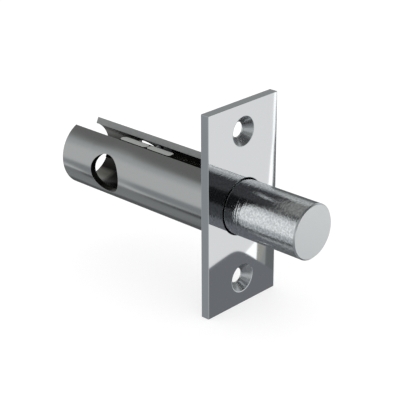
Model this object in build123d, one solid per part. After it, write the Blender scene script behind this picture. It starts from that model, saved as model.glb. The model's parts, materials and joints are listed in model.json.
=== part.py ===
from build123d import *
import math
import os

# Mortise rack bolt for the edge of a door, shown with its round bolt thrown.
# A splined key goes through the keyhole in the case and drives the rack on the bolt's tail.
# The origin is the centre of the forend's front face, on the bolt's axis.
# The bolt throws towards -Y, the forend stands along Z, and all sizes are in millimetres.

# Forend plate, let into the door edge and screwed to it
FOREND_HEIGHT = 55.0
FOREND_WIDTH = 25.5
FOREND_THICKNESS = 2.5
FOREND_EDGE_BREAK = 0.15
SCREW_SPACING = 40.4
SCREW_HOLE_DIAMETER = 4.0
COUNTERSINK_DIAMETER = 7.8
COUNTERSINK_ANGLE = 90.0

# Case, a round tube with an open rear end and a gap along its top
CASE_DIAMETER = 19.1
CASE_WALL = 1.8
CASE_LENGTH = 55.4
CASE_SPIGOT_LENGTH = 0.8
CASE_SPIGOT_STEP = 0.25
CASE_SEAT_CLEARANCE = 0.05
CASE_EDGE_BREAK = 0.2
GAP_HALF_ANGLE = 25.5
GAP_CORNER_RADIUS = 0.9
KEYHOLE_DIAMETER = 10.6
KEYHOLE_FROM_REAR = 16.7

# Bolt, a round bar whose tail is milled down to a rack above the key
BOLT_DIAMETER = 14.6
BOLT_PROTRUSION = 22.7
BOLT_END_CHAMFER = 0.35
BOLT_PROUD_WHEN_DRAWN = 0.5
FOREND_HOLE_CLEARANCE = 0.3
NECK_RELIEF = 0.2
LAND_CLEARANCE = 0.15
LAND_GAP_BEHIND_FOREND = 0.7
LAND_LENGTH = 21.4
LAND_CHAMFER = 0.15
TAIL_REACH_PAST_KEY = 3.3
TAIL_END_CHAMFER = 0.3
TAIL_CORNER_RADIUS = 1.2
CROWN_FLAT_DEPTH = 0.3
CROWN_FLAT_WIDTH = 4.2
CROWN_FLAT_BEHIND_LAND = 0.2
CROWN_FLAT_FROM_TAIL_END = 0.5

# Key space and rack teeth
KEY_DIAMETER = 10.0
KEY_CLEARANCE = 0.5
RACK_PITCH = 3.2
RACK_TOOTH_DEPTH = 1.8
RACK_ENGAGEMENT = 1.7
RACK_PRESSURE_ANGLE = 20.0

# Guide pin, pressed into the case's far wall, and its closed groove in the bolt
PIN_DIAMETER = 2.0
PIN_ANGLE = 40.0
PIN_AHEAD_OF_KEY = 7.0
PIN_SUNK = 0.1
PIN_CHAMFER = 0.25
GROOVE_DEPTH = 1.1
GROOVE_SIDE_CLEARANCE = 0.1
GROOVE_END_CLEARANCE = 0.05
PIN_TIP_CLEARANCE = 0.15

# Friction ball and its spring, in a blind hole under the solid part of the bolt
BALL_DIAMETER = 3.0
BALL_GAP_TO_CASE = 0.05
BALL_BEHIND_FOREND = 5.5
BALL_HOLE_CLEARANCE = 0.1
BALL_HOLE_DEPTH = 7.3
SPRING_WIRE = 0.35
SPRING_SIDE_CLEARANCE = 0.2
SPRING_TURNS = 6
SPRING_END_GAP = 0.03

# Places worked out from the sizes above
CASE_R = CASE_DIAMETER / 2
BORE_R = CASE_R - CASE_WALL
SPIGOT_R = CASE_R - CASE_SPIGOT_STEP
CASE_FRONT = FOREND_THICKNESS - CASE_SPIGOT_LENGTH
CASE_REAR = FOREND_THICKNESS + CASE_LENGTH
BOLT_R = BOLT_DIAMETER / 2
FOREND_HOLE_R = BOLT_R + FOREND_HOLE_CLEARANCE
NECK_R = BOLT_R - NECK_RELIEF
LAND_R = BORE_R - LAND_CLEARANCE
LAND_FRONT = FOREND_THICKNESS + LAND_GAP_BEHIND_FOREND
LAND_REAR = LAND_FRONT + LAND_LENGTH
BOLT_TRAVEL = BOLT_PROTRUSION - BOLT_PROUD_WHEN_DRAWN
KEY_Y = CASE_REAR - KEYHOLE_FROM_REAR
KEY_R = KEY_DIAMETER / 2
SOLID_REAR = KEY_Y - BOLT_TRAVEL - KEY_R - KEY_CLEARANCE
TAIL_REAR = KEY_Y + TAIL_REACH_PAST_KEY
RACK_TIP_Z = KEY_R - RACK_ENGAGEMENT
PIN_Y = KEY_Y - PIN_AHEAD_OF_KEY
BALL_Y = FOREND_THICKNESS + BALL_BEHIND_FOREND
BALL_R = BALL_DIAMETER / 2
BALL_Z = -BORE_R + BALL_GAP_TO_CASE + BALL_R
BALL_HOLE_R = BALL_R + BALL_HOLE_CLEARANCE
BALL_HOLE_TOP = -LAND_R + BALL_HOLE_DEPTH

# How far the cutting shapes run past what they cut, and how close counts as the same place
MARGIN = 1.0
SAME = 0.01


def along_y(radius, y_front, y_rear):
    """A round bar on the bolt's axis between two places along Y."""
    bar = Solid.make_cylinder(radius, y_rear - y_front, Plane((0, y_front, 0), z_dir=(0, 1, 0)))
    return Part(bar.wrapped)


def block(x_span, y_span, z_span):
    """A box between low and high values along each axis."""
    size = [high - low for low, high in (x_span, y_span, z_span)]
    middle = [(high + low) / 2 for low, high in (x_span, y_span, z_span)]
    return Pos(*middle) * Box(*size)


def edges_at_y(solid, y, radius):
    """The round edges of one radius that lie in one plane across the axis."""
    rings = solid.edges().filter_by(GeomType.CIRCLE)
    return [edge for edge in rings
            if abs(edge.center(CenterOf.MASS).Y - y) < SAME and abs(edge.radius - radius) < SAME]


def turned_on_axis(outline):
    """A solid of revolution about the Y axis from (radius, y) corners."""
    face = make_face(Polyline([(r, y, 0) for r, y in outline], close=True))
    return revolve(face, Axis.Y)


def screw_hole(z):
    """A countersunk through hole for a wood screw, open on the forend's front."""
    throat = SCREW_HOLE_DIAMETER / 2
    mouth = COUNTERSINK_DIAMETER / 2
    slope = math.tan(math.radians(COUNTERSINK_ANGLE / 2))
    depth = (mouth - throat) / slope
    outline = [(0, -MARGIN), (mouth + MARGIN * slope, -MARGIN), (throat, depth),
               (throat, FOREND_THICKNESS + MARGIN), (0, FOREND_THICKNESS + MARGIN)]
    return Pos(0, 0, z) * turned_on_axis(outline)


def make_forend_plate():
    """The square-cornered plate with the bolt's hole, two screw holes and the case's seat."""
    half_w = FOREND_WIDTH / 2
    half_h = FOREND_HEIGHT / 2
    plate = block((-half_w, half_w), (0, FOREND_THICKNESS), (-half_h, half_h))
    plate = chamfer(plate.edges(), FOREND_EDGE_BREAK)
    plate -= along_y(FOREND_HOLE_R, -MARGIN, FOREND_THICKNESS + MARGIN)
    plate -= along_y(CASE_R + CASE_SEAT_CLEARANCE, CASE_FRONT, FOREND_THICKNESS + MARGIN)
    for z in (-SCREW_SPACING / 2, SCREW_SPACING / 2):
        plate -= screw_hole(z)
    return plate


def gap_cutter():
    """The wedge that opens the case's top, from the forend's back to past the rear end."""
    reach = CASE_R + 2 * MARGIN
    angle = math.radians(GAP_HALF_ANGLE)
    side = reach * math.sin(angle)
    top = reach * math.cos(angle)
    face = make_face(Polyline([(0, FOREND_THICKNESS, 0), (side, FOREND_THICKNESS, top),
                               (-side, FOREND_THICKNESS, top)], close=True))
    wedge = extrude(face, CASE_LENGTH + MARGIN, dir=(0, 1, 0))
    wedge -= along_y(CASE_R / 2, FOREND_THICKNESS - MARGIN, CASE_REAR + 2 * MARGIN)
    corners = [edge for edge in wedge.edges().filter_by(GeomType.LINE)
               if abs(edge.center().Y - FOREND_THICKNESS) < SAME and abs(edge.center().X) > SAME]
    return fillet(corners, GAP_CORNER_RADIUS)


def pin_bar(radius, r_low, r_high):
    """A round bar along the guide pin's line, between two distances from the bolt's axis."""
    angle = math.radians(PIN_ANGLE)
    out = Vector(math.sin(angle), 0, math.cos(angle))
    base = Plane(Vector(0, PIN_Y, 0) + out * r_low, z_dir=out)
    return Part(Solid.make_cylinder(radius, r_high - r_low, base).wrapped)


def make_case_tube():
    """The case with its spigot in the forend, its gap, the two keyholes and the guide pin's hole."""
    tube = along_y(CASE_R, FOREND_THICKNESS, CASE_REAR) + along_y(SPIGOT_R, CASE_FRONT, FOREND_THICKNESS)
    tube -= along_y(BORE_R, CASE_FRONT - MARGIN, CASE_REAR + MARGIN)
    rims = edges_at_y(tube, CASE_REAR, CASE_R) + edges_at_y(tube, CASE_REAR, BORE_R)
    tube = chamfer(rims, CASE_EDGE_BREAK)
    tube -= gap_cutter()
    tube -= Pos(0, KEY_Y, 0) * Rot(0, 90, 0) * Cylinder(KEYHOLE_DIAMETER / 2, CASE_DIAMETER + MARGIN)
    tube -= pin_bar(PIN_DIAMETER / 2, BOLT_R / 2, CASE_R + MARGIN)
    return tube


def tooth_space(y):
    """One trapezoid gap of the rack, cut up from below the tooth tips."""
    slope = math.tan(math.radians(RACK_PRESSURE_ANGLE))
    root_half = RACK_PITCH / 4 - slope * RACK_TOOTH_DEPTH / 2
    low = -MARGIN
    mouth_half = root_half + slope * (RACK_TOOTH_DEPTH - low)
    root_z = RACK_TIP_Z + RACK_TOOTH_DEPTH
    corners = [(-BORE_R, y - mouth_half, RACK_TIP_Z + low), (-BORE_R, y - root_half, root_z),
               (-BORE_R, y + root_half, root_z), (-BORE_R, y + mouth_half, RACK_TIP_Z + low)]
    return extrude(make_face(Polyline(corners, close=True)), 2 * BORE_R, dir=(1, 0, 0))


def rack_spaces():
    """The places of the rack's gaps: one over the key, the rest in front of it."""
    room = KEY_Y - SOLID_REAR - TAIL_CORNER_RADIUS - RACK_PITCH / 2
    return [KEY_Y - k * RACK_PITCH for k in range(int(room / RACK_PITCH) + 1)]


def guide_groove():
    """The closed groove that the guide pin runs in, as long as the bolt's travel."""
    floor_r = LAND_R - GROOVE_DEPTH
    half = PIN_DIAMETER / 2 + GROOVE_SIDE_CLEARANCE
    front = PIN_Y - BOLT_TRAVEL - PIN_DIAMETER / 2 - GROOVE_END_CLEARANCE
    rear = PIN_Y + PIN_DIAMETER / 2 + GROOVE_END_CLEARANCE
    cut = block((-half, half), (front, rear), (floor_r, LAND_R + MARGIN))
    return Rot(0, PIN_ANGLE, 0) * cut


def crown_flat():
    """The shallow flat that an end mill leaves along the tail's crown, round at both ends."""
    front = LAND_REAR + CROWN_FLAT_BEHIND_LAND
    rear = TAIL_REAR - CROWN_FLAT_FROM_TAIL_END
    outline = Rot(0, 0, 90) * SlotOverall(rear - front, CROWN_FLAT_WIDTH)
    return Pos(0, (front + rear) / 2, BOLT_R - CROWN_FLAT_DEPTH) * extrude(outline, MARGIN)


def make_bolt():
    """The turned bar with its neck, guide land, milled tail, rack, pin groove and ball hole."""
    outline = [(0, -BOLT_PROTRUSION), (BOLT_R - BOLT_END_CHAMFER, -BOLT_PROTRUSION),
               (BOLT_R, BOLT_END_CHAMFER - BOLT_PROTRUSION), (BOLT_R, 0), (NECK_R, NECK_RELIEF),
               (NECK_R, LAND_FRONT - LAND_CHAMFER),
               (LAND_R, LAND_FRONT + LAND_CHAMFER), (LAND_R, LAND_REAR - LAND_CHAMFER),
               (BOLT_R, LAND_REAR + LAND_CHAMFER), (BOLT_R, TAIL_REAR - TAIL_END_CHAMFER),
               (BOLT_R - TAIL_END_CHAMFER, TAIL_REAR), (0, TAIL_REAR)]
    bar = turned_on_axis(outline)
    under = block((-CASE_R, CASE_R), (SOLID_REAR, TAIL_REAR + MARGIN), (-CASE_R, RACK_TIP_Z))
    inner = [edge for edge in under.edges().filter_by(Axis.X)
             if edge.center().Y < SOLID_REAR + MARGIN and edge.center().Z > 0]
    bar -= fillet(inner, TAIL_CORNER_RADIUS)
    bar -= crown_flat()
    for y in rack_spaces():
        bar -= tooth_space(y)
    bar -= guide_groove()
    hole = Cylinder(BALL_HOLE_R, BALL_HOLE_DEPTH + MARGIN, align=(Align.CENTER, Align.CENTER, Align.MAX))
    return bar - Pos(0, BALL_Y, BALL_HOLE_TOP) * hole


def make_guide_pin():
    """The short dowel that stops the bolt at both ends and keeps it from turning."""
    tip_r = LAND_R - GROOVE_DEPTH + PIN_TIP_CLEARANCE
    pin = pin_bar(PIN_DIAMETER / 2, tip_r, CASE_R - PIN_SUNK)
    return chamfer(pin.edges().filter_by(GeomType.CIRCLE), PIN_CHAMFER)


def make_friction_ball():
    """The steel ball that drags on the case's bore, so that the bolt stays where it is put."""
    return Pos(0, BALL_Y, BALL_Z) * Sphere(BALL_R)


def make_friction_spring():
    """The coil spring between the ball and the blind end of its hole."""
    wire_r = SPRING_WIRE / 2
    coil_r = BALL_HOLE_R - SPRING_SIDE_CLEARANCE - wire_r
    low = BALL_Z + math.sqrt((BALL_R + wire_r + SPRING_END_GAP) ** 2 - coil_r ** 2)
    high = BALL_HOLE_TOP - wire_r - SPRING_END_GAP
    path = Helix((high - low) / SPRING_TURNS, high - low, coil_r)
    profile = Plane(path @ 0, z_dir=path % 0) * Circle(wire_r)
    return Pos(0, BALL_Y, low) * sweep(profile, path, is_frenet=True)


def main():
    os.makedirs("parts", exist_ok=True)
    nodes = {
        "forend_plate": make_forend_plate,
        "case_tube": make_case_tube,
        "bolt": make_bolt,
        "guide_pin": make_guide_pin,
        "friction_ball": make_friction_ball,
        "friction_spring": make_friction_spring,
    }
    for name, make in nodes.items():
        piece = make()
        export_step(piece, f"parts/{name}.step")
        print(name, "solids", len(piece.solids()), "volume", round(piece.volume, 1))


main()
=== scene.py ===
# %% [markdown]
# A mortise rack bolt, dressed for its photograph
#
# The real object is three polished pieces: a flat forend plate, a round case with a gap along its top,
# and a satin bolt thrown out of the plate. Inside sit a guide pin, a ball and a coil spring.
# The measured model is loaded first, and every surface here is made to lie on it.
# Chrome has hardly any colour of its own, so most of the work is in smooth surfaces, in small rounded
# edges that catch light, and in the room that the metal mirrors.

# %% Load the measured model
import json
import math

import bmesh
import bpy
import numpy as np
from mathutils import Matrix, Vector


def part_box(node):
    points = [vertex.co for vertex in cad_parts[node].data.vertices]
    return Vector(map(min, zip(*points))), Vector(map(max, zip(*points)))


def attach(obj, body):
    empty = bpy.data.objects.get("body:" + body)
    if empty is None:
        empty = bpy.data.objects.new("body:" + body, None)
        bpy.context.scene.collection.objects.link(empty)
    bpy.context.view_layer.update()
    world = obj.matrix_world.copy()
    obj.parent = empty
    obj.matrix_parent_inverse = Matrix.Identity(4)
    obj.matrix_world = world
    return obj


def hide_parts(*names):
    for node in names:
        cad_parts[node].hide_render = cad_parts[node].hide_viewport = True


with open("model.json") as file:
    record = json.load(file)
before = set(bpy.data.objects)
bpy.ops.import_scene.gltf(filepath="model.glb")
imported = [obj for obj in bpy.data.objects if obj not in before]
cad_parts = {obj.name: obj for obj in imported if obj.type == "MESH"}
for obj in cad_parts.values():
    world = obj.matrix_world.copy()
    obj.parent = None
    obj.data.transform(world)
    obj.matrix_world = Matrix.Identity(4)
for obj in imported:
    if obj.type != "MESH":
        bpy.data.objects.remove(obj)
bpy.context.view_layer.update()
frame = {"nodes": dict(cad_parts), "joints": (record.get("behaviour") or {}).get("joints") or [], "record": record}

mounts = {m["name"]: m for m in frame["record"]["mounts"]}

# %% [markdown]
# Sizes
#
# All sizes are in metres, as Blender wants them. What the measured model already says is read from it,
# so that a surface made here lies exactly where the solid is. Only the small things that no box can
# give, such as a countersink's mouth, are written down, in millimetres.

# %% Sizes read from the model
MM = 0.001
plate_low, plate_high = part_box("forend_plate")
case_low, case_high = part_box("case_tube")
bolt_low, bolt_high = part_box("bolt")
pin_low, pin_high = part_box("guide_pin")
ball_low, ball_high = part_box("friction_ball")
PLATE_W = plate_high.x - plate_low.x
PLATE_H = plate_high.z - plate_low.z
PLATE_T = plate_high.y
CASE_R = case_high.x
CASE_FRONT = case_low.y
CASE_REAR = case_high.y
BOLT_FRONT = bolt_low.y
BOLT_REAR = bolt_high.y
LAND_R = bolt_high.x
BOLT_R = mounts["bolt_end"]["dims"]["r_mm"] * MM
SCREW_R = mounts["forend_screws"]["dims"]["hole_r_mm"] * MM
SCREW_Z = mounts["forend_screws"]["dims"]["spacing_y_mm"] * MM / 2
KEY_Y = mounts["keyhole"]["pos_m"][1]
KEYHOLE_R = mounts["keyhole"]["dims"]["r_mm"] * MM
TRAVEL = frame["joints"][0]["range_m"][1]
PIN_Y = (pin_low.y + pin_high.y) / 2
PIN_R = (pin_high.y - pin_low.y) / 2
BALL_Y = (ball_low.y + ball_high.y) / 2
BALL_R = (ball_high.y - ball_low.y) / 2

# %% Small sizes that the boxes can't give
# The case's bore, the plate's hole for the bolt and its seat for the case, the countersinks, the gap and its
# corners, the bolt's neck and the guide pin's place round the case. A hair is the smallest distance that
# counts, where faces are picked by where they lie.
BORE_R = 7.75 * MM
HOLE_R = 7.6 * MM
SEAT_R = 9.6 * MM
SINK_R = 3.9 * MM
SINK_DEPTH = 1.9 * MM
GAP_HALF_ANGLE = math.radians(25.5)
GAP_CORNER_R = 0.9 * MM
NECK_R = BOLT_R - 0.2 * MM
PIN_ANGLE = math.radians(40)
HAIR = 0.02 * MM
print(f"plate {PLATE_W / MM:.1f} x {PLATE_H / MM:.1f} mm, case radius {CASE_R / MM:.2f} mm")
print(f"the key stands at y {KEY_Y / MM:.1f} mm, and the bolt travels {TRAVEL / MM:.1f} mm")

# %% [markdown]
# Surfaces as grids
#
# Every new surface is a function of two parameters, worked out on a grid of points as one numpy array.
# A grid becomes quads with one rule. Neighbouring grids share their border points, so welding the
# points that coincide turns a set of grids into one closed skin.

# %% Grids to quads, and quads to a welded object
def grid_quads(rows, columns, closed=False):
    """Quads of a rows by columns grid: corner (i, j) goes to (i+1, j), (i+1, j+1) and (i, j+1)."""
    i = np.arange(rows if closed else rows - 1)[:, None]
    j = np.arange(columns - 1)[None, :]
    following = (i + 1) % rows
    return np.stack([i * columns + j, following * columns + j,
                     following * columns + j + 1, i * columns + j + 1], -1).reshape(-1, 4)


def grid_patch(points, closed=False, flip=False):
    """A patch is (points, quads): a (rows, columns, 3) array of places and its quads, turned over by flip."""
    rows, columns = points.shape[:2]
    quads = grid_quads(rows, columns, closed)
    return points.reshape(-1, 3), quads[:, ::-1] if flip else quads


def linked(name, data):
    """A new object of that mesh or camera, in the scene."""
    made = bpy.data.objects.new(name, data)
    bpy.context.scene.collection.objects.link(made)
    return made


def welded_object(name, patches, weld=1e-6):
    """Joins patches into one mesh object and merges the points that coincide."""
    starts = np.cumsum([0] + [len(p) for p, _ in patches[:-1]])
    points = np.concatenate([p for p, _ in patches])
    quads = np.concatenate([q + s for (_, q), s in zip(patches, starts)])
    mesh = bpy.data.meshes.new(name)
    mesh.from_pydata(points.tolist(), [], quads.tolist())
    skin = bmesh.new()
    skin.from_mesh(mesh)
    bmesh.ops.remove_doubles(skin, verts=skin.verts, dist=weld)
    bmesh.ops.dissolve_degenerate(skin, edges=skin.edges, dist=weld)
    bmesh.ops.recalc_face_normals(skin, faces=skin.faces)
    open_edges = sum(1 for e in skin.edges if not e.is_manifold)
    volume = skin.calc_volume(signed=True)
    skin.to_mesh(mesh)
    skin.free()
    print(f"{name}: {len(mesh.polygons)} faces, {open_edges} open edges, volume {volume * 1e9:.0f} mm3")
    return linked(name, mesh)


def eased(piece, width, angle=28):
    """Rounds every real edge of a piece by a hair, as polishing does, and keeps its flat faces flat."""
    piece.data.polygons.foreach_set("use_smooth", np.ones(len(piece.data.polygons), bool))
    piece.data.set_sharp_from_angle(angle=math.radians(angle))
    bevel = piece.modifiers.new("eased edges", "BEVEL")
    bevel.limit_method = "ANGLE"
    bevel.angle_limit = math.radians(angle)
    bevel.width = width
    bevel.segments = 3
    bevel.use_clamp_overlap = True
    bevel.miter_outer = "MITER_ARC"
    bevel.harden_normals = True
    return piece


# %% [markdown]
# Round holes in a flat or rolled sheet
#
# The plate and the case are both sheets with round holes. A grid can't hold a round hole by itself,
# so a rectangle of its cells is left out and a ring of quads takes its place. The ring's outer border
# is the rectangle's own points and its inner border is the hole, and its steps close up a little inwards.

# %% A sheet with ring patches round its holes
RING_STEPS = 9
RING_CLOSING = 0.8
TOUCHING = 1e-9


def lines(*stops):
    """Grid lines from (value, steps) stops: the steps say how many cells lead up to each value."""
    made = [np.array([stops[0][0]])]
    for (start, _), (end, steps) in zip(stops[:-1], stops[1:]):
        made.append(np.linspace(start, end, steps + 1)[1:])
    return np.concatenate(made)


def border(u, v, window):
    """The points of a window's border, anticlockwise, as an (n, 2) array. A window is (u0, u1, v0, v1)."""
    u0, u1, v0, v1 = window
    across = u[(u >= u0 - TOUCHING) & (u <= u1 + TOUCHING)]
    along = v[(v >= v0 - TOUCHING) & (v <= v1 + TOUCHING)]
    low = np.stack([across, np.full(len(across), v0)], 1)[:-1]
    right = np.stack([np.full(len(along), u1), along], 1)[:-1]
    high = np.stack([across[::-1], np.full(len(across), v1)], 1)[:-1]
    left = np.stack([np.full(len(along), u0), along[::-1]], 1)[:-1]
    return np.concatenate([low, right, high, left])


def border_angles(points, window):
    """The angle of each border point seen from the window's middle, with the window squared up first."""
    u0, u1, v0, v1 = window
    return np.arctan2((2 * points[:, 1] - v0 - v1) / (v1 - v0), (2 * points[:, 0] - u0 - u1) / (u1 - u0))


def holed_sheet(u, v, windows, hole, keep=None, closed=False):
    """(points, quads) in the sheet's two parameters. hole(angles, window) gives each hole's border, and the
    ring between is border + (hole border - border) * t, with t an even step to the closing power."""
    uu, vv = np.meshgrid(u, v, indexing="ij")
    flat = np.stack([uu, vv], -1).reshape(-1, 2)
    quads = grid_quads(len(u), len(v), closed)
    after = np.roll(u, -1) + (np.r_[np.zeros(len(u) - 1), 2 * math.pi] if closed else 0)
    mid_u = (u + after)[: len(u) if closed else -1] / 2
    mid_v = (v[:-1] + v[1:]) / 2
    mu, mv = [a.reshape(-1) for a in np.meshgrid(mid_u, mid_v, indexing="ij")]
    solid = np.ones(len(quads), bool) if keep is None else keep(mu, mv)
    patches = []
    for window in windows:
        u0, u1, v0, v1 = window
        solid &= ~((mu > u0) & (mu < u1) & (mv > v0) & (mv < v1))
        outer = border(u, v, window)
        inner = hole(border_angles(outer, window), window)
        t = (np.linspace(0, 1, RING_STEPS) ** RING_CLOSING)[None, :, None]
        ring = outer[:, None] + (inner - outer)[:, None] * t
        patches.append((ring.reshape(-1, 2), grid_quads(len(outer), RING_STEPS, closed=True)))
    return [(flat, quads[solid])] + patches


# %% [markdown]
# The forend plate
#
# A real forend is stamped or cast, drilled, countersunk and then polished and chromed, so its faces
# are flat mirrors and its edges are just broken. Here its front and back are two holed sheets, and each
# hole's wall is a profile carried round the hole: cylinder, cone and the shallow seat for the case.

# %% Front, back and walls of the plate
def circle_at(x, z, radius, angles):
    """Points of a circle in the plate's plane, at the given angles from +X towards +Z."""
    return np.stack([x + radius * np.cos(angles), z + radius * np.sin(angles)], 1)


SCREW_WINDOW = (6.5 * MM, 5.6 * MM)
BOLT_WINDOW = 11 * MM
plate_u = lines((-PLATE_W / 2, 0), (-BOLT_WINDOW, 2), (-SCREW_WINDOW[0], 8), (SCREW_WINDOW[0], 22),
                (BOLT_WINDOW, 8), (PLATE_W / 2, 2))
plate_v = lines((-PLATE_H / 2, 0), (-SCREW_Z - SCREW_WINDOW[1], 3), (-SCREW_Z + SCREW_WINDOW[1], 22),
                (-BOLT_WINDOW, 6), (BOLT_WINDOW, 38), (SCREW_Z - SCREW_WINDOW[1], 6),
                (SCREW_Z + SCREW_WINDOW[1], 22), (PLATE_H / 2, 3))
plate_windows = [(-SCREW_WINDOW[0], SCREW_WINDOW[0], z - SCREW_WINDOW[1], z + SCREW_WINDOW[1])
                 for z in (-SCREW_Z, SCREW_Z)]
plate_windows.append((-BOLT_WINDOW, BOLT_WINDOW, -BOLT_WINDOW, BOLT_WINDOW))


def plate_hole(radius_screw, radius_bolt):
    """A rule for holed_sheet: the hole's radius depends on which window it is in."""
    def rule(angles, window):
        z = (window[2] + window[3]) / 2
        return circle_at(0, z, radius_bolt if abs(z) < MM else radius_screw, angles)
    return rule


def on_plane(flat, y):
    """(x, z) pairs lifted to the plane at y."""
    return np.stack([flat[:, 0], np.full(len(flat), y), flat[:, 1]], 1)


def hole_wall(window, profile):
    """The wall of a hole: (radius, y) stops carried round the circle at the sheet's own angles."""
    angles = border_angles(border(plate_u, plate_v, window), window)
    z = (window[2] + window[3]) / 2
    rings = [on_plane(circle_at(0, z, radius, angles), y) for radius, y in profile]
    return grid_patch(np.stack(rings, 1), closed=True)


def plate_rim():
    """The four side faces: the sheet's own border, carried straight from the front to the back."""
    edge = border(plate_u, plate_v, (-PLATE_W / 2, PLATE_W / 2, -PLATE_H / 2, PLATE_H / 2))
    return grid_patch(np.stack([on_plane(edge, 0), on_plane(edge, PLATE_T)], 1), closed=True, flip=True)


screw_profile = [(SINK_R, 0), (SCREW_R, SINK_DEPTH), (SCREW_R, PLATE_T)]
bolt_hole_profile = [(HOLE_R, 0), (HOLE_R, CASE_FRONT), (SEAT_R, CASE_FRONT), (SEAT_R, PLATE_T)]
plate_patches = [(on_plane(p, 0), q)
                 for p, q in holed_sheet(plate_u, plate_v, plate_windows, plate_hole(SINK_R, HOLE_R))]
plate_patches += [(on_plane(p, PLATE_T), q[:, ::-1])
                  for p, q in holed_sheet(plate_u, plate_v, plate_windows, plate_hole(SCREW_R, SEAT_R))]
plate_patches += [hole_wall(plate_windows[0], screw_profile), hole_wall(plate_windows[1], screw_profile),
                  hole_wall(plate_windows[2], bolt_hole_profile), plate_rim()]
plate = eased(welded_object("forend_plate_polished", plate_patches), width=0.26 * MM)

# %% [markdown]
# The case
#
# A real case of this kind is a tube rolled from sheet, with its two long edges left apart. Unrolled, it
# is a rectangle with two round holes, so it is made that way: a holed sheet in angle and length, laid on
# the outside radius and again on the bore's radius, and joined by walls along every free edge. Its front
# end stands in the plate's shallow seat.

# %% The case's sheet, its gap and its keyholes
KEY_WINDOW = 7 * MM
SIDE = math.radians(42)
BACK = math.radians(138)
around = lines((-math.pi, 0), (-BACK, 28), (-SIDE, 64), (-GAP_HALF_ANGLE, 11), (GAP_HALF_ANGLE, 34),
               (SIDE, 11), (BACK, 64), (math.pi, 28))[:-1]
along = lines((CASE_FRONT, 0), (PLATE_T, 1), (PLATE_T + GAP_CORNER_R, 8), (KEY_Y - KEY_WINDOW, 16),
              (KEY_Y + KEY_WINDOW, 48), (CASE_REAR, 6))
case_windows = [(-BACK, -SIDE, KEY_Y - KEY_WINDOW, KEY_Y + KEY_WINDOW),
                (SIDE, BACK, KEY_Y - KEY_WINDOW, KEY_Y + KEY_WINDOW)]


def keyhole_rule(radius):
    """A round hole along X meets a tube of this radius at z = hole radius times the sine, so the
    unrolled angle is the arc cosine of z over the tube's radius, on the window's own side."""
    def rule(angles, window):
        side = math.copysign(1, window[0] + window[1])
        z = -side * KEYHOLE_R * np.cos(angles)
        return np.stack([side * np.arccos(z / radius), KEY_Y + KEYHOLE_R * np.sin(angles)], 1)
    return rule


def outside_gap(angle, y):
    """The sheet is cut away between the gap's edges, behind the forend."""
    return ~((np.abs(angle) < GAP_HALF_ANGLE) & (y > PLATE_T))


def rolled(flat, radius):
    """Angle and length laid on a cylinder: x = r sin(angle), z = r cos(angle). Near the forend the gap's
    edges draw together on a corner radius, and that shift fades out over the next few degrees."""
    angle, y = flat[:, 0], flat[:, 1]
    into = np.clip(GAP_CORNER_R - (y - PLATE_T), 0, GAP_CORNER_R)
    inwards = (GAP_CORNER_R - np.sqrt(GAP_CORNER_R ** 2 - into ** 2)) * (y >= PLATE_T - 1e-7)
    fade = np.clip((SIDE - np.abs(angle)) / (SIDE - GAP_HALF_ANGLE), 0, 1)
    inside = np.clip(np.abs(angle) / GAP_HALF_ANGLE, 0, 1)
    angle = angle - np.sign(angle) * inwards / radius * np.minimum(fade, inside)
    return np.stack([radius * np.sin(angle), y, radius * np.cos(angle)], 1)


def free_edges(quads):
    """The edges that only one quad uses, each in its quad's own direction."""
    sides = np.concatenate([quads[:, [k, (k + 1) % 4]] for k in range(4)])
    key = sides[:, 0] * (sides.max() + 1) + sides[:, 1]
    mirrored = sides[:, 1] * (sides.max() + 1) + sides[:, 0]
    return sides[~np.isin(key, mirrored)]


def case_wall(outer, inner, hidden):
    """Quads from each free edge of an outer patch to the same edge of the inner one, but for the edges
    whose two ends are both hidden: there the sheet and a window's ring meet, and no wall is wanted."""
    edges = free_edges(outer[1])
    edges = edges[~(hidden[edges[:, 0]] & hidden[edges[:, 1]])]
    count = len(outer[0])
    points = np.concatenate([rolled(outer[0], CASE_R), rolled(inner[0], BORE_R)])
    a, b = edges[:, 0], edges[:, 1]
    return points, np.stack([b, a, a + count, b + count], 1)


def on_window_border(flat):
    """True where an unrolled point lies on a keyhole window's border."""
    angle, y = np.abs(flat[:, 0]), flat[:, 1]
    return (np.abs(y - KEY_Y) < KEY_WINDOW + 1e-7) & (angle > SIDE - 1e-6) & (angle < BACK + 1e-6)


outside = holed_sheet(around, along, case_windows, keyhole_rule(CASE_R), outside_gap, closed=True)
inside = holed_sheet(around, along, case_windows, keyhole_rule(BORE_R), outside_gap, closed=True)
case_patches = [(rolled(p, CASE_R), q) for p, q in outside]
case_patches += [(rolled(p, BORE_R), q[:, ::-1]) for p, q in inside]
case_patches.append(case_wall(outside[0], inside[0], on_window_border(outside[0][0])))
for outer_ring, inner_ring in zip(outside[1:], inside[1:]):
    case_patches.append(case_wall(outer_ring, inner_ring, np.arange(len(outer_ring[0])) % RING_STEPS == 0))
case = eased(welded_object("case_tube_polished", case_patches), width=0.14 * MM)

# %% [markdown]
# The bolt
#
# The real bolt is a bar turned in a lathe, milled away underneath at the back, and cut with teeth that
# the key drives. It is a profile carried along a line: at each station along Y the cross-section is a
# circle, or a circle cut off by a floor, and the floor's height rises and falls to give the teeth.
# Behind the land that guides it in the bore, the tail is a little slimmer, and the light comes through
# between the two. Two flat strips with round ends stand up along its crown, as the gap shows.

# %% Stations along the bolt
# The rack: its tips lie on one height, and the gaps between are trapezoids cut up into the tail.
TIP_Z = 3.3 * MM
TOOTH_DEPTH = 1.8 * MM
TOOTH_PITCH = 3.2 * MM
TOOTH_SLOPE = math.tan(math.radians(20))
ROOT_HALF = TOOTH_PITCH / 4 - TOOTH_SLOPE * TOOTH_DEPTH / 2
MOUTH_HALF = ROOT_HALF + TOOTH_SLOPE * TOOTH_DEPTH

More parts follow.
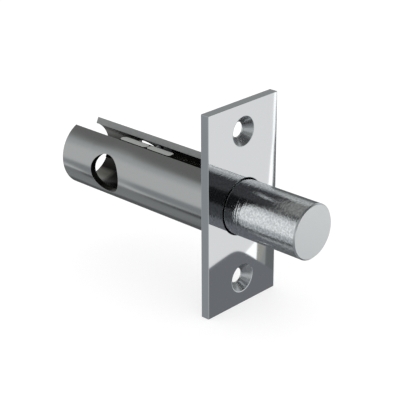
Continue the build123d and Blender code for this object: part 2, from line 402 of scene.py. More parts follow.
# The land behind the neck, the milled step's corner, and the slimmer tail with its two flats
LAND_FRONT = PLATE_T + 0.7 * MM
LAND_REAR = LAND_FRONT + 21.4 * MM
LAND_CONE = 0.15 * MM
SOLID_REAR = KEY_Y - TRAVEL - 5.5 * MM
CORNER_R = 1.2 * MM
END_CHAMFER = 0.35 * MM
TAIL_CHAMFER = 0.3 * MM
TAIL_R = BOLT_R - 0.4 * MM
FLAT_Z = BOLT_R - 0.1 * MM
FLAT_HALF = 1.15 * MM
FLATS = ((LAND_REAR + 0.2 * MM, LAND_REAR + 9.2 * MM), (LAND_REAR + 9.4 * MM, BOLT_REAR - 0.5 * MM))

# How many points each ring has over its crown, down each flank and underneath
CROWN, FLANK, UNDER = 24, 54, 50
CROWN_SHARE = 0.3


def flat_half(y):
    """Half the width at y of the crown's raised flats, sqrt(R^2 - d^2) at a distance d past the centre of an
    end arc, and whether y is on a flat at all. Off the flats the full half width is given."""
    for front, rear in FLATS:
        if front <= y <= rear:
            past = max(front + FLAT_HALF - y, y - rear + FLAT_HALF, 0)
            half = math.sqrt(max(FLAT_HALF ** 2 - past ** 2, 0))
            return half, half > HAIR
    return FLAT_HALF, False


def section(radius, y, floor=None):
    """One closed ring of points at y: an arc of the radius over the top, then back along the floor, which
    is a chord at that height or, with no floor, the rest of the circle. The arc's middle points span the
    crown's flats, so that their outlines are lines of the grid, and stand up at one height on a flat."""
    cut = TIP_Z if floor is None else floor
    reach = math.acos(cut / radius) if radius > cut else 0.0
    reach = math.acos(TIP_Z / BOLT_R) if floor is None else reach
    half, on_flat = flat_half(y)
    crown = min(math.asin(min(half / radius, 1)), CROWN_SHARE * reach)
    flank = np.linspace(crown, reach, FLANK + 1)[1:]
    over = np.concatenate([-flank[::-1], np.linspace(-crown, crown, CROWN), flank])
    share = np.linspace(0, 1, UNDER + 2)[1:-1]
    if floor is None:
        under = reach + (2 * math.pi - 2 * reach) * share
        x_under, z_under = radius * np.sin(under), radius * np.cos(under)
    else:
        x_under, z_under = radius * math.sin(reach) * (1 - 2 * share), np.full(UNDER, floor)
    x = np.concatenate([radius * np.sin(over), x_under])
    z = np.concatenate([radius * np.cos(over), z_under])
    if on_flat:
        z[FLANK:FLANK + CROWN] = FLAT_Z
    return np.stack([x, np.full(len(x), y), z], 1)


def tooth_floor(y):
    """The rack's underside: tips at one height, with a trapezoid gap each pitch, the last over the key."""
    count = int((KEY_Y - SOLID_REAR - CORNER_R - TOOTH_PITCH / 2) / TOOTH_PITCH)
    nearest = np.clip(np.round((KEY_Y - y) / TOOTH_PITCH), 0, count) * TOOTH_PITCH
    away = np.abs(KEY_Y - y - nearest) - ROOT_HALF
    return TIP_Z + np.clip(TOOTH_DEPTH - away / TOOTH_SLOPE, 0, TOOTH_DEPTH)


def tail_stations():
    """Places along the tail: even steps, both ends of every tooth's two flanks, of the flats' round ends and
    of the land's rear cone. Places closer than two microns count as one."""
    first, last = SOLID_REAR + CORNER_R, BOLT_REAR - TAIL_CHAMFER
    middles = KEY_Y - TOOTH_PITCH * np.arange(9)
    flanks = (middles[:, None] + np.array([-MOUTH_HALF, -ROOT_HALF, ROOT_HALF, MOUTH_HALF])).reshape(-1)
    ends = FLAT_HALF * (1 - np.cos(np.linspace(0, math.pi / 2, 12)))
    land = [LAND_REAR - LAND_CONE, LAND_REAR + LAND_CONE]
    flats = [place for front, rear in FLATS for place in (front + ends, rear - ends)]
    wanted = np.concatenate([np.linspace(first, last, 60), flanks, *flats, land])
    wanted = np.sort(wanted[(wanted >= first) & (wanted <= last)])
    return wanted[np.r_[True, np.diff(wanted) > 2e-6]]


def bolt_rings():
    """The bolt's stations from its end face to the tail's end. Each end face starts or ends in a ring too
    small to see, which welds to a point. The land's ends are short cones. The milled step behind the solid
    part goes up from just above the bottom, and turns into the tail in a quarter circle."""
    rings = [section(max(r, 1e-7), BOLT_FRONT) for r in np.linspace(0, BOLT_R - END_CHAMFER, 8)]
    rings += [section(BOLT_R, y) for y in np.linspace(BOLT_FRONT + END_CHAMFER, 0, 24)]
    rings += [section(NECK_R, y) for y in (BOLT_R - NECK_R, LAND_FRONT - LAND_CONE)]
    rings += [section(LAND_R, y) for y in np.linspace(LAND_FRONT + LAND_CONE, SOLID_REAR - 0.01 * MM, 12)]
    bottom = -0.9995 * LAND_R
    rings += [section(LAND_R, SOLID_REAR, floor) for floor in np.linspace(bottom, TIP_Z - CORNER_R, 10)]
    turn = np.linspace(0, math.pi / 2, 7)[1:-1]
    rings += [section(LAND_R, SOLID_REAR + CORNER_R * (1 - math.cos(a)), TIP_Z - CORNER_R * (1 - math.sin(a)))
              for a in turn]
    for y, floor in zip(tail_stations(), tooth_floor(tail_stations())):
        blend = np.clip((y - LAND_REAR + LAND_CONE) / (2 * LAND_CONE), 0, 1)
        rings.append(section(LAND_R + (TAIL_R - LAND_R) * blend, y, floor))
    rings.append(section(TAIL_R - TAIL_CHAMFER, BOLT_REAR, TIP_Z))
    middle = np.array([0, BOLT_REAR, (TIP_Z + FLAT_Z) / 2])
    rings += [middle + (rings[-1] - middle) * s for s in (0.6, 0.0)]
    return np.stack(rings)


bolt = welded_object("bolt_satin", [grid_patch(np.transpose(bolt_rings(), (1, 0, 2)), closed=True)])

# %% [markdown]
# Two cuts in the bolt
#
# The guide pin runs in a groove as long as the travel, and the ball and its spring sit in a blind hole.
# Both are cut with a boolean against a plain cutter, and the result is kept as the bolt's own mesh, so
# that nothing but the finished piece stays in the scene.

# %% Cutters, the cut, and the bolt's finished mesh
GROOVE_FLOOR_R = LAND_R - 1.1 * MM
GROOVE_HALF = PIN_R + 0.1 * MM
BALL_HOLE_R = BALL_R + 0.1 * MM
BALL_HOLE_TOP = -LAND_R + 7.3 * MM


def cutter_box(x, y, z):
    """A plain block between low and high values along each axis, as a mesh object."""
    corners = np.array([(a, b, c) for a in x for b in y for c in z])
    quads = [(0, 1, 3, 2), (4, 6, 7, 5), (0, 4, 5, 1), (2, 3, 7, 6), (0, 2, 6, 4), (1, 5, 7, 3)]
    mesh = bpy.data.meshes.new("cutter")
    mesh.from_pydata(corners.tolist(), [], quads)
    return linked("cutter", mesh)


def cutter_round(radius, y, low, high, sides=64):
    """A plain upright cylinder at y, from low to high."""
    mesh = bpy.data.meshes.new("cutter")
    form = bmesh.new()
    bmesh.ops.create_cone(form, cap_ends=True, segments=sides, radius1=radius, radius2=radius,
                          depth=high - low, matrix=Matrix.Translation((0, y, (low + high) / 2)))
    form.to_mesh(mesh)
    form.free()
    return linked("cutter", mesh)


def cut(piece, cutters):
    """Subtracts the cutters and bakes the result into the piece's mesh."""
    for cutter in cutters:
        step = piece.modifiers.new("cut", "BOOLEAN")
        step.operation = "DIFFERENCE"
        step.solver = "MANIFOLD"
        step.object = cutter
    bpy.context.view_layer.update()
    finished = bpy.data.meshes.new_from_object(piece.evaluated_get(bpy.context.evaluated_depsgraph_get()))
    piece.modifiers.clear()
    piece.data = finished
    for cutter in cutters:
        bpy.data.objects.remove(cutter)


groove = cutter_box((-GROOVE_HALF, GROOVE_HALF),
                    (PIN_Y - TRAVEL - PIN_R - 0.05 * MM, PIN_Y + PIN_R + 0.05 * MM),
                    (GROOVE_FLOOR_R, LAND_R + MM))
groove.data.transform(Matrix.Rotation(PIN_ANGLE, 4, "Y"))
cut(bolt, [groove, cutter_round(BALL_HOLE_R, BALL_Y, -LAND_R - MM, BALL_HOLE_TOP)])
eased(bolt, width=0.1 * MM, angle=33)
print("bolt after the cuts:", len(bolt.data.polygons), "faces")

# %% [markdown]
# Which piece stands for which node
#
# The plate and the case stay put and the bolt slides, so each piece rides on its own body. The pin, the
# ball and the spring are shown as they are in the measured model.

# %% Pieces and bodies
for piece, node, body in ((plate, "forend_plate", "case"), (case, "case_tube", "case"),
                          (bolt, "bolt", "bolt")):
    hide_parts(node)
    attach(piece, body)

# %% [markdown]
# Finishes
#
# Each material is one metal shader with a little bump or wear. The plate is polished before it is
# chromed, so its reflections are sharp with only a faint waviness. The case is buffed, so it mirrors the
# room more softly. Its reflections run together round the keyhole, as if the wall were a little flattened
# there. Bumps do both, because so small a change of slope moves a reflection but no outline. How deep the
# real dish is can't be seen, so this one is as deep as it takes to bend the bands as the photograph does.

# %% Tools for materials
def linear(hex_colour):
    """An sRGB colour such as #c8cacc as linear red, green, blue and alpha."""
    values = np.array([int(hex_colour[k:k + 2], 16) for k in (1, 3, 5)]) / 255
    values = np.where(values <= 0.04045, values / 12.92, ((values + 0.055) / 1.055) ** 2.4)
    return (*values.tolist(), 1.0)


def add(tree, kind, settings=None, **inputs):
    """Adds a node. Settings are its properties and inputs are its sockets' values, with _0, _1 and so on for
    a socket's place. A value may be another node's output, or a node, which stands for its first output."""
    node = tree.nodes.new(kind)
    for name, value in (settings or {}).items():
        setattr(node, name, value)
    for name, value in inputs.items():
        socket = node.inputs[int(name[1:])] if name[0] == "_" else node.inputs[name.replace("_", " ")]
        value = value.outputs[0] if isinstance(value, bpy.types.Node) else value
        if isinstance(value, bpy.types.NodeSocket):
            tree.links.new(value, socket)
        else:
            socket.default_value = value
    return node


def metal(name, colour, roughness):
    """A metal material with its shader ready, and the tree to add to."""
    material = bpy.data.materials.new(name)
    material.use_nodes = True
    tree = material.node_tree
    shader = tree.nodes["Principled BSDF"]
    shader.inputs["Base Color"].default_value = linear(colour)
    shader.inputs["Metallic"].default_value = 1.0
    shader.inputs["Roughness"].default_value = roughness
    return material, tree, shader


def dress(piece, material):
    """Gives a piece one material."""
    piece.data.materials.clear()
    piece.data.materials.append(material)


# %% Polished chrome of the plate and the case
DISH_REACH, DISH_DEPTH = 8 * MM, 0.5 * MM


def polished_chrome(name, colour, roughness, wave, wave_depth):
    """Mirror chrome: a very low, wide bump makes its reflections swim a little, as polished faces do.
    Returns the material with its tree, shader, places and bump, for what comes on top."""
    material, tree, shader = metal(name, colour, roughness)
    place = add(tree, "ShaderNodeTexCoord").outputs["Object"]
    swell = add(tree, "ShaderNodeTexNoise", Vector=place, Scale=1 / wave, Detail=1.0)
    bump = add(tree, "ShaderNodeBump", Height=swell, Strength=1.0, Distance=wave_depth)
    tree.links.new(bump.outputs[0], shader.inputs["Normal"])
    return material, tree, shader, place, bump


def dished_case_chrome():
    """A dish round each keyhole, of the kind that drilling or punching can leave: a bump that falls away as
    exp(-d^2 / reach^2), with d the distance from the keyhole's middle, and the reflections gather there."""
    material, tree, shader, place, swell = polished_chrome(
        "buffed chrome case", "#b3b4b4", roughness=0.15, wave=6 * MM, wave_depth=0.004 * MM)
    off = add(tree, "ShaderNodeVectorMath", {"operation": "SUBTRACT"}, _0=place, _1=(0, KEY_Y, 0))
    side_on = add(tree, "ShaderNodeVectorMath", {"operation": "MULTIPLY"},
                  _0=off, _1=(0, 1 / DISH_REACH, 1 / DISH_REACH))
    squared = add(tree, "ShaderNodeVectorMath", {"operation": "DOT_PRODUCT"}, _0=side_on, _1=side_on)
    falling = add(tree, "ShaderNodeMath", {"operation": "MULTIPLY"}, _0=squared.outputs["Value"], _1=-1.0)
    dish = add(tree, "ShaderNodeMath", {"operation": "EXPONENT"}, _0=falling)
    bump = add(tree, "ShaderNodeBump", {"invert": True}, Height=dish, Strength=1.0, Distance=DISH_DEPTH,
               Normal=swell)
    tree.links.new(bump.outputs[0], shader.inputs["Normal"])
    return material


# The plate's chrome is bright, cool and sharp as a mirror. The case's is a tone darker and softer, so that
# it shows the room as broad bands without outlines.
plate_chrome = polished_chrome("polished chrome plate", "#c9cbcd", roughness=0.015,
                               wave=12 * MM, wave_depth=0.0025 * MM)
dress(plate, plate_chrome[0])
dress(case, dished_case_chrome())

# %% [markdown]
# Where the polishing wheel doesn't reach
#
# A chromed tube stays dull inside, and its sheared and drilled edges keep a matt grey. Rather than paint that
# over the whole piece, the faces of each such place are picked by where they lie, and get a metal of their own:
# rougher, darker and a little uneven, as plating is where nobody polishes it. The bore also gets painted shade.
# How dark the bore is, and where, was tried until the gap and the keyhole looked as deep as they do in the
# This darkening is painted shade: oil, dust and grease would darken a bore in this way, but nothing shows that
# they are there.

# %% Dull places of the case and the plate, and the bore's painted shade
# Where the bore's painted shade lies: along the sides above the bottom, most below the gap, and inwards low down
# under the key.
SIDE_SHADE_START_Z, SIDE_SHADE_FULL_Z = -6.9 * MM, -6.2 * MM
LIT_BY_GAP_Z, OUT_OF_LIGHT_Z = 4 * MM, MM
LOW_SHADE_START_Y, LOW_SHADE_FULL_Y = 53.2 * MM, 51.4 * MM
LOW_SHADE_TOP_Z, LOW_SHADE_BOTTOM_Z = -MM, -3 * MM
SIDE_SHADE, LOW_SHADE = 0.92, 0.93


def uneven_metal(name, colour, low, high, patch):
    """Metal whose roughness wanders between low and high, in patches of about that size."""
    material, tree, shader = metal(name, colour, low)
    place = add(tree, "ShaderNodeTexCoord").outputs["Object"]
    cloud = add(tree, "ShaderNodeTexNoise", Vector=place, Scale=1 / patch, Detail=3.0)
    wander = add(tree, "ShaderNodeMapRange", Value=cloud, To_Min=low, To_Max=high)
    tree.links.new(wander.outputs[0], shader.inputs["Roughness"])
    return material


def painted_shade_inwards(material, unshaded_colour, deep_colour):
    """Paints shade into the bore: darker from the case's open end to the bolt's tail, along its sides above
    the bottom, and low down under the key. The unshaded colour's share is
    open end * (1 - sides * under gap) * (1 - inwards * low down)."""
    tree = material.node_tree
    place = add(tree, "ShaderNodeTexCoord").outputs["Object"]
    _, along_y, up = add(tree, "ShaderNodeSeparateXYZ", Vector=place).outputs
    light = add(tree, "ShaderNodeMapRange", Value=along_y, From_Min=BOLT_REAR, From_Max=CASE_REAR)
    sides = add(tree, "ShaderNodeMapRange", Value=up, From_Min=SIDE_SHADE_START_Z, From_Max=SIDE_SHADE_FULL_Z)
    under_gap = add(tree, "ShaderNodeMapRange", Value=up, From_Min=LIT_BY_GAP_Z, From_Max=OUT_OF_LIGHT_Z,
                    To_Max=SIDE_SHADE)
    inwards = add(tree, "ShaderNodeMapRange", Value=along_y, From_Min=LOW_SHADE_START_Y, From_Max=LOW_SHADE_FULL_Y)
    low_down = add(tree, "ShaderNodeMapRange", Value=up, From_Min=LOW_SHADE_TOP_Z, From_Max=LOW_SHADE_BOTTOM_Z,
                   To_Max=LOW_SHADE)
    for one, other in ((sides, under_gap), (inwards, low_down)):
        shade_amount = add(tree, "ShaderNodeMath", {"operation": "MULTIPLY"}, _0=one, _1=other)
        unshaded_share = add(tree, "ShaderNodeMath", {"operation": "SUBTRACT"}, _0=1.0, _1=shade_amount)
        light = add(tree, "ShaderNodeMath", {"operation": "MULTIPLY"}, _0=light, _1=unshaded_share)
    shaded = add(tree, "ShaderNodeMix", {"data_type": "RGBA"},
                 _0=light, _6=linear(deep_colour), _7=linear(unshaded_colour))
    tree.links.new(shaded.outputs[2], tree.nodes["Principled BSDF"].inputs["Base Color"])


def face_data(piece):
    """The centres and normals of a piece's faces, as two (n, 3) arrays."""
    faces = piece.data.polygons
    centre, normal = np.empty(len(faces) * 3), np.empty(len(faces) * 3)
    faces.foreach_get("center", centre)
    faces.foreach_get("normal", normal)
    return centre.reshape(-1, 3), normal.reshape(-1, 3)


def also(piece, material, chosen):
    """Gives the chosen faces of a piece one more material."""
    piece.data.materials.append(material)
    slots = np.empty(len(piece.data.polygons), np.int32)
    piece.data.polygons.foreach_get("material_index", slots)
    slots[chosen] = len(piece.data.materials) - 1
    piece.data.polygons.foreach_set("material_index", slots)
    print(f"{piece.name}: {int(np.count_nonzero(chosen))} faces of {material.name}")


# The bore is dull and darkens inwards with painted shade, so the gap and the keyhole look deep. The keyhole's
# drilled wall is matt and painted dark as shade, shearing leaves a plain grey edge, and the countersink's turned
# cone glints unevenly.
BORE_COLOUR = "#a09e97"
shaded_bore_steel = uneven_metal("dull steel of the bore", BORE_COLOUR, low=0.18, high=0.3, patch=3 * MM)
# The keyhole's wall is painted near black as shade.
shaded_drilled_edge = uneven_metal("drilled edge of the keyhole", "#4b4945", low=0.3, high=0.4, patch=2 * MM)
sheared_edge = uneven_metal("sheared edge of the gap", "#989999", low=0.3, high=0.45, patch=1 * MM)
turned_cone = uneven_metal("machined countersink", "#c6c8c9", low=0.2, high=0.32, patch=1 * MM)
# The deep colour is the painted shade at the bore's darkest.
painted_shade_inwards(shaded_bore_steel, BORE_COLOUR, "#1d1c1a")

(x, y, z), _ = (a.T for a in face_data(case))
radius = np.hypot(x, z)
in_wall = (radius > BORE_R + HAIR) & (radius < CASE_R - HAIR)
key_wall = (np.hypot(y - KEY_Y, z) < KEYHOLE_R + HAIR) & in_wall
also(case, shaded_bore_steel, np.abs(radius - BORE_R) < HAIR / 2)
also(case, shaded_drilled_edge, key_wall)
also(case, sheared_edge, in_wall & ~key_wall & (y > PLATE_T))

(x, y, z), _ = (a.T for a in face_data(plate))
from_screw = np.hypot(x, np.abs(z) - SCREW_Z)
also(plate, turned_cone, (from_screw < SINK_R) & (y > HAIR) & (y < PLATE_T - HAIR))

# %% [markdown]
# The bolt's satin plating
#
# The bolt is turned, lightly blasted and chromed, so it has fine rings next to the forend and a grain that
# glitters where light falls on it. Its end is faced off and looks plain and even. Of its tail only narrow
# strips show in the gap, pale ones beside almost black ones. Here the tail is painted almost black as shade, with
# raised flats painted pale as a highlight. That is a guess, and a real tail drawn out of the case may well be
# paler.

# %% Satin plating over lathe rings
RING_WIDTH, RING_DEPTH = 0.5 * MM, 0.08 * MM
GRAIN_WIDTH, GRAIN_DEPTH = 0.6 * MM, 0.045 * MM
RINGS_FAINT_Y, RINGS_FULL_Y = -9 * MM, -3 * MM


def satin_bolt():
    """Rings are noise that changes only along Y, strongest next to the forend. The grain is fine noise that
    tilts the surface and speckles its colour. Both are really about 0.1 mm and are drawn coarser to show."""
    material, tree, shader = metal("satin chrome over turned steel", "#e2e4e6", roughness=0.13)
    place = add(tree, "ShaderNodeTexCoord").outputs["Object"]
    along_y = add(tree, "ShaderNodeSeparateXYZ", Vector=place).outputs["Y"]
    stretched = add(tree, "ShaderNodeMapping", Vector=place, Scale=(0.03, 1.0, 0.03))
    rings = add(tree, "ShaderNodeTexNoise", Vector=stretched, Scale=1 / RING_WIDTH, Detail=1.0)
    near = add(tree, "ShaderNodeMapRange", Value=along_y, From_Min=RINGS_FAINT_Y, From_Max=RINGS_FULL_Y,
               To_Min=0.15)
    cut_rings = add(tree, "ShaderNodeMath", {"operation": "MULTIPLY"}, _0=rings, _1=near)
    grain = add(tree, "ShaderNodeTexNoise", Vector=place, Scale=1 / GRAIN_WIDTH, Detail=2.0, Roughness=0.6)
    ring_bump = add(tree, "ShaderNodeBump", Height=cut_rings, Strength=1.0, Distance=RING_DEPTH)
    grain_bump = add(tree, "ShaderNodeBump", Height=grain, Strength=1.0, Distance=GRAIN_DEPTH,
                     Normal=ring_bump)
    tree.links.new(grain_bump.outputs[0], shader.inputs["Normal"])
    speckle = add(tree, "ShaderNodeMapRange", Value=grain, From_Min=0.35, From_Max=0.65)
    colour = add(tree, "ShaderNodeMix", {"data_type": "RGBA"},
                 _0=speckle, _6=linear("#cfd1d3"), _7=linear("#f4f6f8"))
    tree.links.new(colour.outputs[2], shader.inputs["Base Color"])
    return material


# The end is even and pale. The tail is painted almost black as shade, dull even where light grazes it, and the
# flats on its crown are a pale grey as a painted highlight.
faced_end = uneven_metal("faced end of the bolt", "#d3d6d7", low=0.28, high=0.32, patch=2 * MM)
shaded_tail = uneven_metal("oiled steel of the tail", "#30302f", low=0.25, high=0.4, patch=2 * MM)
# A grey specular tint keeps the tail's painted shade dark where light grazes it.
shaded_tail.node_tree.nodes["Principled BSDF"].inputs["Specular Tint"].default_value = linear("#707070")
highlit_tail_flats = uneven_metal("worn flats on the tail", "#dcdcd8", low=0.3, high=0.4, patch=1 * MM)

dress(bolt, satin_bolt())
(x, y, z), (_, _, normal_z) = (a.T for a in face_data(bolt))
# Faces on the crown's flats get the painted highlight, and the rest of the tail the painted shade.
highlit_flat_faces = (np.abs(z - FLAT_Z) < HAIR / 4) & (np.abs(x) < FLAT_HALF) & (y > PLATE_T) & (normal_z > 0.99)
also(bolt, faced_end, y < BOLT_FRONT + 0.3 * MM)
also(bolt, shaded_tail, (y > LAND_FRONT - 0.2 * MM) & ~highlit_flat_faces)
also(bolt, highlit_tail_flats, highlit_flat_faces)

# %% [markdown]
# The small inner pieces
#
# None of these is plated: a ground pin is even and soft, a bearing ball is nearly a mirror, and drawn wire
# has a low silky shine.

# %% Steel of the pin, the ball and the spring
pin_steel = metal("ground steel", "#a4a6a8", roughness=0.25)[0]
ball_steel = metal("polished steel ball", "#b4b6b8", roughness=0.08)[0]
spring_steel = metal("bright drawn wire", "#9fa1a3", roughness=0.3)[0]
for node, material in (("guide_pin", pin_steel), ("friction_ball", ball_steel),
                       ("friction_spring", spring_steel)):
    dress(frame["nodes"][node], material)

# %% [markdown]
# The camera
#
# The camera was solved from the photograph: the plate's corners, the case's rims and the bolt's end give
# one place and one lens for which all of them fall where the photograph has them.

# %% Camera
CAMERA_PLACE = Vector((-225.4, -198.5, 133.9)) * MM
YAW, PITCH_DOWN, ROLL = (math.radians(a) for a in (-46.684, 23.753, 0.267))
LENS_IN_FRAMES = 1300.6 / 400
SENSOR = 36

camera_data = bpy.data.cameras.new("photo_camera")
camera_data.sensor_width = SENSOR
camera_data.lens = SENSOR * LENS_IN_FRAMES
camera_data.clip_start = 0.01
camera = linked("photo_camera", camera_data)
camera.location = CAMERA_PLACE
camera.rotation_euler = (math.pi / 2 - PITCH_DOWN, ROLL, YAW)
bpy.context.scene.camera = camera

# %% [markdown]
# The studio
#
# Chrome shows the room. The photograph's reflections suggest a bright wall all round at eye height, a
# ceiling and low parts that are grey and darker in front, and a table's edge in the plate's lower end.
# Nothing else is known of it. So each part's place, size and tone was tried until the metal showed the
# same bands from the photograph's side, and its name only says what could stand there.
# The dark place in front would be where the camera stood, with black cloth over it. It is wanted in what
# the plate mirrors of the bolt, and not on every side of the object, so only rays that have left a second
# mirror see it. That is a choice for the picture, and no real room does it.
# The world holds that room for the metal. The camera sees plain white, and the floor is lit plainly.
# Each part of the room is an amount from 0 to 1 by direction, and is laid over the parts before it.

# %% Tools for the room
world = bpy.data.worlds.new("studio")
world.use_nodes = True
bpy.context.scene.world = world
room = world.node_tree
room.nodes.clear()
facing = add(room, "ShaderNodeTexCoord").outputs["Generated"]
x_way, y_way, z_way = add(room, "ShaderNodeSeparateXYZ", Vector=facing).outputs
ray = add(room, "ShaderNodeLightPath").outputs


def soft(value, start, end):
    """0 before start and 1 after end, with a smooth step between, in either direction."""
    return add(room, "ShaderNodeMapRange", {"interpolation_type": "SMOOTHSTEP"}, Value=value,
               From_Min=start, From_Max=end)


def height(start, end):
    """A band of the room: 0 at one elevation and 1 past the other, in degrees, upwards or downwards."""
    return soft(z_way, math.sin(math.radians(start)), math.sin(math.radians(end)))


def spot(azimuth, elevation, inner, outer):
    """1 within inner degrees of a direction, falling smoothly to 0 at outer. Azimuth 0 is -Y, 90 is +X."""
    a, e = math.radians(azimuth), math.radians(elevation)
    centre = (math.sin(a) * math.cos(e), -math.cos(a) * math.cos(e), math.sin(e))
    closeness = add(room, "ShaderNodeVectorMath", {"operation": "DOT_PRODUCT"}, _0=facing, _1=centre)
    return soft(closeness.outputs["Value"], math.cos(math.radians(outer)), math.cos(math.radians(inner)))


def overlap(first, *others):
    """The product of several amounts: the part of the room that all of them share."""
    for other in others:
        first = add(room, "ShaderNodeMath", {"operation": "MULTIPLY"}, _0=first, _1=other)
    return first


def laid(colour, *parts, strength=1.0):
    """Lays parts of the room over a colour, in order. A part is (amount, sRGB colour)."""
    for amount, hex_colour in parts:
        top = tuple(c * strength for c in linear(hex_colour)[:3]) + (1.0,)
        mixed = add(room, "ShaderNodeMix", {"data_type": "RGBA"}, _0=amount, _6=colour, _7=top)
        colour = mixed.outputs[2]
    return colour


# %% The wall all round, and what stands beside and behind the object
# These give the case and the bolt their bands: a pale panel lights the case's near side, the ceiling and
# the low parts close it off, and the small dark and bright things draw the fine lines along its lower side.
# A spot's numbers are its azimuth and elevation and its inner and outer radius, all in degrees.
pale_panel = spot(-131, 3, 12, 26)
dark_stand = spot(125, 2, 8, 20)
ceiling = height(27, 46)
lamp_housing = spot(-136, 47, 4, 11)
overhead_lamp = height(66, 80)
low_wall = height(-27, -36)
ground = height(-49, -56)
dark_strip = spot(-140, -41, 2, 8)
bright_strip = spot(-144, -31, 2, 6)
grey_box = spot(-133, -26, 4, 12)
dark_corner = spot(150, -42, 8, 20)
shelf = spot(133, 23, 4, 10)
shade = laid(linear("#ced1d2"), (pale_panel, "#e6e8e8"), (dark_stand, "#606364"), (ceiling, "#828381"),
             (lamp_housing, "#3c3e3f"))
shade = laid(shade, (overhead_lamp, "#ffffff"), strength=1.2)
shade = laid(shade, (low_wall, "#9a9d9e"), (ground, "#626465"), (dark_strip, "#434546"),
             (bright_strip, "#eef0f0"), (grey_box, "#a2a7aa"), (dark_corner, "#626465"), (shelf, "#a0a3a3"))

# %% The front of the room, and the window on its right
# The bolt's upper and lower sides mirror the front, and the window gives its satin side the bright band.
front = soft(y_way, -0.05, -0.3)
front_ceiling = overlap(front, height(24, 36))
front_low = overlap(front, height(-27, -42))
left_table = spot(-43, -25, 4, 11)
left_shelf = spot(-35, 18, 6, 13)
shade = laid(shade, (front_ceiling, "#505254"), (front_low, "#5a5c5e"), (left_table, "#808385"),
             (left_shelf, "#747779"))

# The dark place where the camera stood is for second mirrors only, with a pale gap beside it.
second = add(room, "ShaderNodeMath", {"operation": "GREATER_THAN"}, _0=ray["Glossy Depth"], _1=1.5)
twice = overlap(front, second)
dark_ceiling = overlap(twice, height(20, 34))
dark_low = overlap(twice, height(-24, -40))
pale_gap = overlap(twice, spot(47, 22, 6, 20))
camera_stand = overlap(twice, spot(-48, -2, 24, 46))
black_cloth = overlap(twice, spot(-46, 24, 18, 30))
shade = laid(shade, (dark_ceiling, "#48494b"), (dark_low, "#45474a"), (pale_gap, "#c8cacb"),
             (camera_stand, "#4e5052"), (black_cloth, "#131416"))

window = spot(46, -12, 16, 34)
window_frame = spot(60, -4, 6, 20)
shade = laid(shade, (window, "#ffffff"), strength=1.1)
shade = laid(shade, (window_frame, "#f4f6f6"))

# %% [markdown]
# What the plate mirrors at its edges
#
# Down its right side the plate shows thin upright strips, and across its lower end the top of a table.
# Their outlines are straight, so they are drawn as lines on a flat front wall, where a direction's place is
# (x, z) divided by its depth towards -Y.

# %% Strips and a table on the front wall
depth = add(room, "ShaderNodeMath", {"operation": "MULTIPLY"}, _0=y_way, _1=-1.0)
depth = add(room, "ShaderNodeMath", {"operation": "MAXIMUM"}, _0=depth, _1=0.001)
u_way = add(room, "ShaderNodeMath", {"operation": "DIVIDE"}, _0=x_way, _1=depth)
v_way = add(room, "ShaderNodeMath", {"operation": "DIVIDE"}, _0=z_way, _1=depth)


def right_of(*places, blur=0.0012):
    """0 left and 1 right of a line down through two places of the front wall, or 1 right of either of two
    such lines through three. The line is u = u_low + slope * (v - v_low)."""
    amounts = []
    for (u_high, v_high), (u_low, v_low) in zip(places[:-1], places[1:]):
        slope = (u_high - u_low) / (v_high - v_low)
        line = add(room, "ShaderNodeMath", {"operation": "MULTIPLY_ADD"},
                   _0=v_way, _1=slope, _2=u_low - slope * v_low)
        across = add(room, "ShaderNodeMath", {"operation": "SUBTRACT"}, _0=u_way, _1=line)
        amounts.append(soft(across, -blur, blur))
    if len(amounts) == 1:
        return amounts[0]
    return add(room, "ShaderNodeMath", {"operation": "MAXIMUM"}, _0=amounts[0], _1=amounts[1])


right_part = overlap(front, soft(u_way, 1.34, 1.24))
low_part = overlap(right_part, soft(v_way, -0.68, -0.70))
lit_strip = overlap(right_part, right_of((1.1928, -0.5645), (1.1917, -0.6028), (1.1843, -0.6603)))
lit_foot = overlap(right_part, right_of((1.1560, -0.7349), (1.1375, -0.7446)))
cream_panel = overlap(low_part, soft(u_way, 1.1630, 1.1644))
grey_panel = overlap(low_part, right_of((1.1818, -0.747), (1.1708, -0.7665)))
dark_panel = overlap(right_part, right_of((1.1975, -0.5655), (1.1930, -0.6629), (1.1810, -0.7702)))
shade = laid(shade, (lit_strip, "#ffffff"), strength=1.8)
shade = laid(shade, (lit_foot, "#ffffff"), strength=1.7)
shade = laid(shade, (cream_panel, "#b4b4ac"), (grey_panel, "#a9abab"), (dark_panel, "#7b7d7e"))

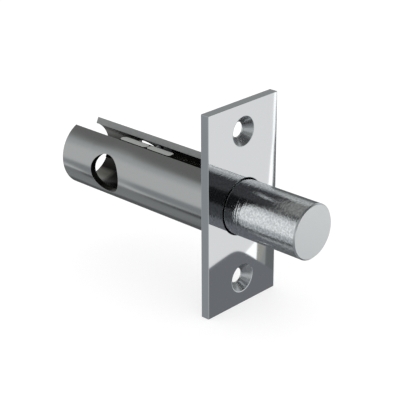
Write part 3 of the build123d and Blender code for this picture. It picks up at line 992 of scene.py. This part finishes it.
# The table's two edges meet in a rounded corner, and the table lies below both.
TABLE_CORNER = 0.03
over_edges = []
for u_start, slope, drop in ((1.0721, -0.18, 0.7402), (1.1666, 0.825, 0.7636)):
    beyond = add(room, "ShaderNodeMath", {"operation": "SUBTRACT"}, _0=u_way, _1=u_start)
    below = add(room, "ShaderNodeMath", {"operation": "MULTIPLY_ADD"}, _0=beyond, _1=slope, _2=drop)
    over_edges.append(add(room, "ShaderNodeMath", {"operation": "ADD"}, _0=v_way, _1=below))
over_table = add(room, "ShaderNodeMath", {"operation": "SMOOTH_MAX"},
                 _0=over_edges[0], _1=over_edges[1], _2=TABLE_CORNER)
table = overlap(front, soft(over_table, 0.002, -0.001))
shade = laid(shade, (table, "#83858a"))

seen_by_ray = add(room, "ShaderNodeMix", {"data_type": "RGBA"},
                  _0=ray["Is Glossy Ray"], _6=(1, 1, 1, 1), _7=shade)
lit = add(room, "ShaderNodeBackground", Color=seen_by_ray.outputs[2], Strength=1.0)
add(room, "ShaderNodeOutputWorld", Surface=lit)

# %% [markdown]
# The floor
#
# The photograph is cut out on white, so the floor is matt paper that glows just enough to come out white
# round a soft shadow. It lies under the plate's lower edge, and the metal looks through it at the room.

# %% Floor
FLOOR_Z = -PLATE_H / 2 - HAIR
FLOOR_HALF = 2.0
corners = [(x, y, FLOOR_Z) for x, y in ((-FLOOR_HALF, -FLOOR_HALF), (FLOOR_HALF, -FLOOR_HALF),
                                        (FLOOR_HALF, FLOOR_HALF), (-FLOOR_HALF, FLOOR_HALF))]
floor_mesh = bpy.data.meshes.new("floor")
floor_mesh.from_pydata(corners, [], [(0, 1, 2, 3)])
floor = linked("floor", floor_mesh)
paper = bpy.data.materials.new("matt white paper")
paper.use_nodes = True
tree = paper.node_tree
tree.nodes.clear()
floor_ray = add(tree, "ShaderNodeLightPath").outputs
matt = add(tree, "ShaderNodeBsdfDiffuse", Color=linear("#b8b8b8"))
glow = add(tree, "ShaderNodeEmission", Color=(1, 1, 1, 1), Strength=0.6)
lit_paper = add(tree, "ShaderNodeAddShader", _0=matt, _1=glow)
clear = add(tree, "ShaderNodeBsdfTransparent")
seen = add(tree, "ShaderNodeMixShader", _0=floor_ray["Is Glossy Ray"], _1=lit_paper, _2=clear)
add(tree, "ShaderNodeOutputMaterial", Surface=seen)
floor_mesh.materials.append(paper)

bpy.context.scene.view_settings.view_transform = "Standard"
